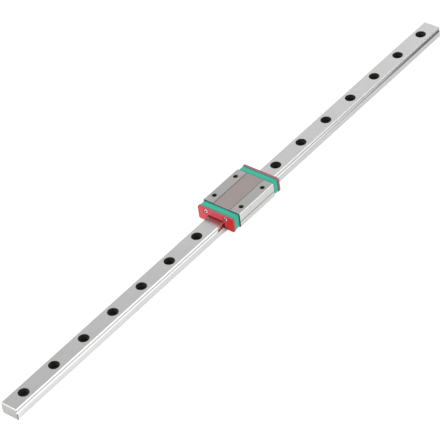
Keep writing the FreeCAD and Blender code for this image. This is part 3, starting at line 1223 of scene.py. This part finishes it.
@dataclass
class EndCap(EndPlate):
    """Moulded cap that turns the balls round at one end of the block."""

    node_stem: ClassVar[str] = "end_cap"
    shape_stem: ClassVar[str] = "return_cap"
    corner: float = 0.8
    notch_radius: float = 0.25
    notch_depth: float = 1.0
    notch_sides: int = 20
    turn_segments: int = 32
    turn_sides: int = 20
    wire_side: float = 6.4
    wire_height: float = 4.25

    def cutters(self) -> Iterator[bpy.types.Object]:
        """Make every tool that cuts the cap, one at a time.

        Yields:
            The next cutter.
        """
        yield self.window()
        block, raceway = self.block, self.block.raceway
        for side in Side:
            across = side.value * (block.return_side + raceway.ball_side) / 2
            bpy.ops.mesh.primitive_torus_add(
                major_radius=block.turn_radius,
                minor_radius=block.return_radius,
                major_segments=self.turn_segments,
                minor_segments=self.turn_sides,
                location=(self.inner, across, raceway.ball_height),
            )
            yield named("ball_turn")
            yield self.screw_hole(side, block.screw_hole_radius)
            start = self.inner - (self.notch_depth if self.end is End.FRONT else CLEAR)
            yield rod_along(
                "wire_notch",
                Vector((start, side.value * self.wire_side, self.wire_height)),
                self.notch_depth + CLEAR,
                self.notch_radius,
                self.notch_sides,
            )

    def build(self) -> None:
        """Model the cap, dress it and hand it over."""
        cap = self.slab(self.outer, self.inner)
        for cutter in self.cutters():
            combine(cap, cutter)
        dress(cap, GREEN_ACETAL)
        hand_over(cap, Body.CARRIAGE, Slot.CAP, self.node)


@dataclass
class SealPlate(EndPlate):
    """Thin steel sheet that backs a seal and takes the heads of the screws."""

    node_stem: ClassVar[str] = "seal_plate"
    shape_stem: ClassVar[str] = "backing_sheet"
    edge: float = 0.04
    edge_segments: int = 1

    def build(self) -> None:
        """Model the plate, dress it and hand it over."""
        plate = self.slab(self.low.x, self.high.x)
        combine(plate, self.window())
        for side in Side:
            combine(plate, self.screw_hole(side, self.block.screw_hole_radius))
        dress(plate, PHOSPHATED_SHEET)
        hand_over(plate, Body.CARRIAGE, Slot.PLATE, self.node)


@dataclass
class EndSeal(EndPlate):
    """Wiper whose window follows the rail's section, moulded with a lip that leans on the rail."""

    node_stem: ClassVar[str] = "end_seal"
    shape_stem: ClassVar[str] = "wiper_seal"
    rail_gap: float = 0.15
    lip: float = 0.65
    seat_radius: float = 1.65
    nub_sides: int = 48
    highlight_tilt: float = 0.3

    def window(self) -> bpy.types.Object:
        """Model the cutter of the window, the rail's section a little larger.

        Returns:
            The cutter, with a hollow for the nub that reaches into each ball groove.
        """
        window = super().window()
        raceway = self.block.raceway
        top = self.rail.high.z + self.rail_gap
        bevel_edges(window, partial(runs_at, top), self.rail.top_chamfer + self.rail_gap / 2)
        for side in Side:
            nub = rod_along(
                "nub",
                Vector((self.low.x - 2 * CLEAR, side.value * raceway.ball_side, raceway.ball_height)),
                self.high.x - self.low.x + 4 * CLEAR,
                raceway.ball_radius + raceway.clearance - self.rail_gap,
                self.nub_sides,
            )
            combine(window, nub)
        return window

    def build(self) -> None:
        """Model the seal, dress it and hand it over."""
        seal = combine(self.slab(self.outer), self.window())
        reach = self.rail.high + Vector((0, 1, 1)) * (self.rail_gap + NEAR)
        bevel_edges(
            seal,
            lambda first, second: lies_at(self.outer, first, second)
            and max(abs(first.y), abs(second.y)) < reach.y
            and max(first.z, second.z) < reach.z,
            self.lip,
        )
        for side in Side:
            combine(seal, self.screw_hole(side, self.seat_radius))
        # The seal is painted paler over the middle and left: a painted sheen.
        dress(seal, RED_ELASTOMER_PAINTED_SHEEN)
        # Its outer edges are painted pale mauve: a painted highlight.
        dress(
            seal,
            SEAL_EDGE_PAINTED_HIGHLIGHT,
            lambda middle, normal: abs(normal.x) < self.highlight_tilt
            and (abs(middle.y) > self.high.y - self.corner or middle.z > self.high.z - self.corner),
        )
        hand_over(seal, Body.CARRIAGE, Slot.SEAL, self.node)


@dataclass
class CapScrew:
    """Small pan-head screw with a cross recess and a threaded shank."""

    head_radius: float = 1.45
    head_height: float = 1.1
    shank_radius: float = 0.95
    root_radius: float = 0.78
    thread_pitch: float = 0.4
    length: float = 9.0
    recess_reach: float = 0.95
    recess_width: float = 0.5
    recess_depth: float = 0.7
    recess_taper: float = 0.55
    pit_radius: float = 0.65
    pit_taper: float = 1 / 3
    pit_sides: int = 24
    sides: int = 48
    dome_steps: int = 4

    def turned_form(self) -> bpy.types.Object:
        """Turn the shank, its thread drawn as rings, and the domed head.

        Returns:
            The screw, point down, with the underside of its head at height zero.
        """
        pitch = self.thread_pitch
        rings = [(self.root_radius, -self.length)]
        for turn in range(int(self.length / pitch) - 2):
            floor = -self.length + (turn + 0.5) * pitch
            rings += [(self.shank_radius, floor), (self.root_radius, floor + pitch / 2)]
        rings += [(self.shank_radius, rings[-1][1] + pitch / 2), (self.shank_radius, 0.0)]
        dome = self.head_height / 2
        rings += [(self.head_radius, 0.0), (self.head_radius, self.head_height - dome)]
        for step in range(1, self.dome_steps + 1):
            angle = math.pi / 2 * step / (self.dome_steps + 1)
            rings.append(
                (
                    self.head_radius - dome * (1 - math.cos(angle)),
                    self.head_height - dome * (1 - math.sin(angle)),
                )
            )
        rings.append((self.head_radius - dome, self.head_height))
        return turned("cap_bolt", rings, self.sides)

    def recess(self, turn: float) -> bpy.types.Object:
        """Make the tapered cutter of one slot of the cross.

        Args:
            turn: The slot's turn about the screw's axis in radians.

        Returns:
            The cutter.
        """
        top = self.head_height + CLEAR
        floor = self.head_height - self.recess_depth
        slot = box_between(
            "recess",
            Vector((-self.recess_reach, -self.recess_width / 2, floor)),
            Vector((self.recess_reach, self.recess_width / 2, top)),
        )
        with editing(slot):
            pick_faces(slot, lambda middle, normal: normal.z < -FACING)
            taper = self.recess_taper
            bpy.ops.transform.resize(value=(taper, taper, 1), center_override=(0, 0, floor))
        return moved(slot, Vector((0, 0, 0)), (0, 0, turn))

    def build(self) -> None:
        """Model one screw and put a copy in each of the four places."""
        model = self.turned_form()
        top = self.head_height
        floor = top - self.recess_depth
        pit = turned(
            "pit",
            [
                (self.pit_radius * self.pit_taper, floor),
                (self.pit_radius, top),
                (self.pit_radius, top + CLEAR),
            ],
            self.pit_sides,
        )
        combine(model, pit)
        for turn in (math.pi / 4, 3 * math.pi / 4):
            combine(model, self.recess(turn))
        dress(model, NICKEL_PLATE)
        # The cross recess is painted black: painted shade.
        dress(
            model,
            BLACK_SCALE_AND_PAINTED_SHADE,
            lambda middle, normal: floor - NEAR < middle.z < top - NEAR
            and middle.xy.length < self.recess_reach,
        )
        for end in End:
            for side in Side:
                node = f"cap_screw_{end.label}_{side.label}"
                low, high = node_box(node)
                screw = copy_of(model, f"cap_bolt_{end.label}_{side.label}")
                outer = low.x if end is End.FRONT else high.x
                seat = outer - end.value * self.head_height
                place = Vector((seat, (low.y + high.y) / 2, (low.z + high.z) / 2))
                moved(screw, place, (0, end.value * math.pi / 2, 0))
                hand_over(screw, Body.CARRIAGE, Slot.SCREW, node)
        bpy.data.objects.remove(model)


@dataclass
class BallTrain:
    """The endless train of steel balls on each side of the block."""

    block: CarriageBlock
    count: int = 29
    cuts: int = 7

    def ball(self) -> bpy.types.Object:
        """Model one ball from a cube drawn out to a sphere.

        Returns:
            The ball, about the origin.
        """
        radius = self.block.raceway.ball_radius
        corner = Vector((radius, radius, radius))
        ball = box_between("ball", -corner, corner)
        with editing(ball):
            bpy.ops.mesh.select_all(action="SELECT")
            bpy.ops.mesh.subdivide(number_cuts=self.cuts)
        apply_modifier(ball, "CAST", cast_type="SPHERE", factor=1.0, size=radius, use_radius_as_size=False)
        return ball

    def place(self, run: float, side: Side) -> Vector:
        """Find a place on the balls' path: loaded row, turn, return row and turn.

        Args:
            run: Distance along the path from the start of the loaded row.
            side: The side of the block.

        Returns:
            The middle of a ball there.
        """
        block = self.block
        straight, radius = block.length, block.turn_radius
        turn = math.pi * radius
        across = block.raceway.ball_side
        if run < straight:
            along = block.low.x + run
        elif run < straight + turn:
            angle = (run - straight) / radius
            along = block.high.x + radius * math.sin(angle)
            across += radius * (1 - math.cos(angle))
        elif run < 2 * straight + turn:
            along = block.high.x - (run - straight - turn)
            across = block.return_side
        else:
            angle = (run - 2 * straight - turn) / radius
            along = block.low.x - radius * math.sin(angle)
            across = block.return_side - radius * (1 - math.cos(angle))
        return Vector((along, side.value * across, block.raceway.ball_height))

    def build(self) -> None:
        """Model one ball and lay copies of it along both paths."""
        model = self.ball()
        path = 2 * (self.block.length + math.pi * self.block.turn_radius)
        for side in Side:
            balls = [
                moved(copy_of(model, f"ball_{index}"), self.place(path * index / self.count, side))
                for index in range(self.count)
            ]
            train = joined(balls, f"ball_train_{side.label}")
            dress(train, CHROME_STEEL)
            hand_over(train, Body.CARRIAGE, Slot.BALL, f"ball_circuit_{side.label}")
        bpy.data.objects.remove(model)


@dataclass
class BallWires:
    """The wires that keep the balls in the block, shown as the frame has them."""

    finish: Finish = DRAWN_WIRE

    def build(self) -> None:
        """Put the finish on both wires."""
        for side in Side:
            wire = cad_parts[f"ball_wire_{side.label}"]
            wire.data.materials.clear()
            dress(wire, self.finish)
            log.info("%s: finish only", wire.name)


# Stage

WHITE = "#FFFFFF"


@dataclass(frozen=True)
class Lamp:
    """A soft square lamp that lights the object but isn't mirrored by it, in watts and millimetres."""

    name: str
    toward: tuple[float, float, float]
    power: float
    size: float = 1200.0
    distance: float = 2200.0

    def hang(self) -> None:
        """Hang the lamp and aim it at the middle of the rail."""
        data = bpy.data.lights.new(self.name, "AREA")
        data.size = self.size * MM
        data.energy = self.power
        lamp = bpy.data.objects.new(self.name, data)
        bpy.context.scene.collection.objects.link(lamp)
        way = Vector(self.toward).normalized()
        lamp.location = way * self.distance * MM
        lamp.rotation_mode = "QUATERNION"
        lamp.rotation_quaternion = way.to_track_quat("Z", "Y")
        lamp.visible_glossy = False


@dataclass
class Floor:
    """White paper that the guide stands on, which can't be seen from below.

    Seen straight, it is plain white with a faint shadow. What metal mirrors of it has a level of its own:
    it falls from the rail's near end to the far one, is bright in a strip along the rail's foot, dark
    beside the far end and where a piece stands close over it, and a little dimmer further away. Places
    are in millimetres, except that clear goes by the shade, which runs from 0, shut in, to 1, open.
    """

    rail: GuideRail
    half: float = 6000.0
    drop: float = 0.02
    shadow_grey: str = "#A0A0A0"
    plain_grey: str = "#808080"
    near_level: float = 1.34
    far_level: float = 0.92
    corner_level: float = 0.1
    foot_level: float = 2.9
    under_level: float = 0.9
    seen_level: float = 0.84
    shade_reach: float = 9.0
    shade_samples: int = 4
    far: Change = (140.0, 190.0, 0.0, 1.0)
    outer: Change = (10.0, 13.0, 0.0, 1.0)
    beside: Change = (6.5, 7.0, 1.0, 0.0)
    clear: Change = (0.1, 0.42, 0.05, 1.0)
    aside: Change = (30.0, 80.0, 1.0, 0.72)
    ahead: Change = (215.0, 265.0, 1.0, 0.72)

    def levels(self, graph: Graph) -> tuple[bpy.types.NodeSocket, bpy.types.NodeSocket]:
        """Work out what the paper shows to each kind of ray.

        Args:
            graph: The material's nodes.

        Returns:
            An output that is 1 for rays that show the paper and 0 for those that only light something,
            and one with the level that is shown.
        """
        ray = graph.add("ShaderNodeLightPath").outputs
        metres = graph.add("ShaderNodeTexCoord").outputs["Object"]
        place = graph.add("ShaderNodeVectorMath", {"Vector": metres, "Scale": 1 / MM}, operation="SCALE")
        axes = graph.add("ShaderNodeSeparateXYZ", {"Vector": place.outputs["Vector"]}).outputs
        shade = graph.add(
            "ShaderNodeAmbientOcclusion", {"Distance": self.shade_reach * MM}, samples=self.shade_samples
        )
        along, across = [
            graph.add("ShaderNodeMath", {0: axes[axis]}, operation="ABSOLUTE").outputs[0] for axis in "XY"
        ]
        low, high = self.rail.low, self.rail.high
        level = {
            "camera": ray["Is Camera Ray"],
            "glossy": ray["Is Glossy Ray"],
            "passed": ray["Is Transmission Ray"],
            "run": axes["X"],
            "along": along,
            "across": across,
            "shade": shade.outputs["AO"],
            "rail_reach": high.x,
            "foot_reach": high.y - self.rail.base_chamfer,
            "corner_level": self.corner_level,
            "foot_level": self.foot_level,
            "under_level": self.under_level,
            "seen_level": self.seen_level,
            "black": 0.0,
        }
        graph.work_out(
            level,
            {
                "sweep": ("run", (low.x, high.x, self.near_level, self.far_level)),
                "far": ("run", self.far),
                "outer": ("across", self.outer),
                "beside": ("across", self.beside),
                "clear": ("shade", self.clear),
                "aside": ("across", self.aside),
                "ahead": ("along", self.ahead),
            },
            [
                ("within", "LESS_THAN", "along", "rail_reach"),
                ("inside", "LESS_THAN", "across", "foot_reach"),
                ("under", "MULTIPLY", "inside", "within"),
                ("foot", "MULTIPLY", "beside", "within"),
                ("corner", "MULTIPLY", "outer", "far"),
                ("distant", "MINIMUM", "aside", "ahead"),
                ("open", "MULTIPLY", "clear", "distant"),
                ("straight", "MAXIMUM", "camera", "passed"),
                ("seen", "MAXIMUM", "straight", "glossy"),
            ],
            [
                ("dimmed", "corner", "sweep", "corner_level"),
                ("lined", "foot", "dimmed", "foot_level"),
                ("shaded", "open", "black", "lined"),
                ("mirrored", "under", "shaded", "under_level"),
                ("strength", "camera", "mirrored", "seen_level"),
            ],
            "LINEAR",
        )
        return level["seen"], level["strength"]

    def build(self) -> None:
        """Lay the paper, dress it and put it on the stage."""
        bpy.ops.object.select_all(action="DESELECT")
        bpy.ops.mesh.primitive_plane_add(size=2 * self.half * MM, location=(0, 0, -self.drop * MM))
        floor = named("floor")
        made = bpy.data.materials.new("matt_white_paper")
        graph = Graph(made)
        seen, strength = self.levels(graph)
        shaded = graph.add("ShaderNodeBsdfDiffuse", {"Color": linear(self.shadow_grey)})
        glow = graph.add("ShaderNodeEmission", {"Color": linear(WHITE), "Strength": strength})
        pale = graph.add("ShaderNodeAddShader", {0: shaded.outputs[0], 1: glow.outputs[0]})
        plain = graph.add("ShaderNodeBsdfDiffuse", {"Color": linear(self.plain_grey)})
        above = graph.add("ShaderNodeMixShader", {0: seen, 1: plain.outputs[0], 2: pale.outputs[0]})
        below = graph.add("ShaderNodeBsdfTransparent")
        back = graph.add("ShaderNodeNewGeometry").outputs["Backfacing"]
        surface = graph.add("ShaderNodeMixShader", {0: back, 1: above.outputs[0], 2: below.outputs[0]})
        graph.add("ShaderNodeOutputMaterial", {"Surface": surface.outputs[0]})
        floor.data.materials.append(made)


@dataclass
class Sky:
    """Even light from all round, and a studio for metal to mirror.

    Beyond the rail the mirrored sky is white at the horizon, brightest halfway up and grey overhead. On
    the near side stands a white card under a lit ceiling. Toward the rail's far end the card gives way
    to a dark gap and the ceiling dims. Places are parts of the unit vector that points at the sky.
    """

    fill: float = 0.62
    white: float = 1.0
    lean: float = 0.05
    horizon: Change = (0.15, 0.5, 0.62, 1.0)
    zenith: Change = (0.58, 0.7, 1.56, 0.69)
    card: Change = (0.603, 0.65, 2.0, 0.06)
    ceiling: Change = (0.5, 0.57, 1.8, 0.95)
    rise: Change = (0.58, 0.81, 0.0, 1.0)
    before: Change = (0.3, 0.42, 1.0, 0.0)
    after: Change = (0.69, 0.74, 0.0, 1.0)
    opposite: Change = (-0.25, 0.05, 0.0, 1.0)

    def build(self) -> None:
        """Build the world."""
        world = bpy.data.worlds.new("studio")
        bpy.context.scene.world = world
        graph = Graph(world)
        ray = graph.add("ShaderNodeLightPath").outputs
        way = graph.add("ShaderNodeTexCoord").outputs["Generated"]
        axes = graph.add("ShaderNodeSeparateXYZ", {"Vector": way}).outputs
        slant = graph.add(
            "ShaderNodeMath", {0: axes["Z"], 1: self.lean, 2: axes["X"]}, operation="MULTIPLY_ADD"
        )
        level = {
            "camera": ray["Is Camera Ray"],
            "glossy": ray["Is Glossy Ray"],
            "ahead": axes["X"],
            "across": axes["Y"],
            "up": axes["Z"],
            "slant": slant.outputs[0],
            "fill": self.fill,
            "white": self.white,
        }
        graph.work_out(
            level,
            {
                "horizon": ("up", self.horizon),
                "zenith": ("up", self.zenith),
                "card": ("slant", self.card),
                "ceiling": ("slant", self.ceiling),
                "rise": ("up", self.rise),
                "before": ("ahead", self.before),
                "after": ("slant", self.after),
                "opposite": ("across", self.opposite),
            },
            [
                ("beyond", "MULTIPLY", "horizon", "zenith"),
                ("outside", "MAXIMUM", "before", "after"),
                ("plain", "MAXIMUM", "outside", "opposite"),
            ],
            [
                ("near", "rise", "card", "ceiling"),
                ("mirrored", "plain", "near", "beyond"),
                ("lit", "glossy", "fill", "mirrored"),
                ("strength", "camera", "lit", "white"),
            ],
            "SMOOTHSTEP",
        )
        light = graph.add("ShaderNodeBackground", {"Color": linear(WHITE), "Strength": level["strength"]})
        graph.add("ShaderNodeOutputWorld", {"Surface": light.outputs[0]})


@dataclass
class Camera:
    """The photograph's viewpoint, fitted to the middles of the holes, in millimetres and degrees."""

    place: tuple[float, float, float] = (-781.1, -740.0, 898.0)
    azimuth: float = -45.94
    elevation: float = 40.01
    roll: float = -8.5
    focal_pixels: float = 2388.17
    image_pixels: float = 440.0
    sensor: float = 36.0
    reach: float = 50000.0

    def build(self) -> None:
        """Set the camera up and look through it."""
        data = bpy.data.cameras.new("camera")
        data.sensor_width = self.sensor
        data.lens = self.focal_pixels * self.sensor / self.image_pixels
        data.clip_end = self.reach * MM
        camera = bpy.data.objects.new("camera", data)
        bpy.context.scene.collection.objects.link(camera)
        turn, rise = math.radians(self.azimuth), math.radians(self.elevation)
        back = Vector(
            (math.sin(turn) * math.cos(rise), -math.cos(turn) * math.cos(rise), math.sin(rise))
        )
        roll = Quaternion((0, 0, 1), math.radians(self.roll))
        camera.rotation_mode = "QUATERNION"
        camera.rotation_quaternion = back.to_track_quat("Z", "Y") @ roll
        camera.location = Vector(self.place) * MM
        bpy.context.scene.camera = camera


@dataclass
class Studio:
    """The camera, the floor, the sky and two soft lamps."""

    rail: GuideRail
    lamps: tuple[Lamp, ...] = (
        Lamp("key", toward=(0.25, -0.93, 0.27), power=23.0),
        Lamp("front", toward=(-0.8, 0.42, 0.42), power=33.0, size=800.0),
    )

    def build(self) -> None:
        """Set the whole stage."""
        Camera().build()
        Floor(self.rail).build()
        Sky().build()
        for lamp in self.lamps:
            lamp.hang()
        bpy.context.scene.view_settings.view_transform = "Standard"


def main() -> None:
    """Build the guide piece by piece, then its stage."""
    logging.basicConfig(level=logging.INFO, format="%(name)s: %(message)s")
    rail = GuideRail()
    block = CarriageBlock()
    rail.build()
    block.build()
    for end in End:
        for plate in (EndCap, SealPlate, EndSeal):
            plate(end, block, rail).build()
    CapScrew().build()
    BallTrain(block).build()
    BallWires().build()
    Studio(rail).build()


if __name__ == "__main__":
    main()
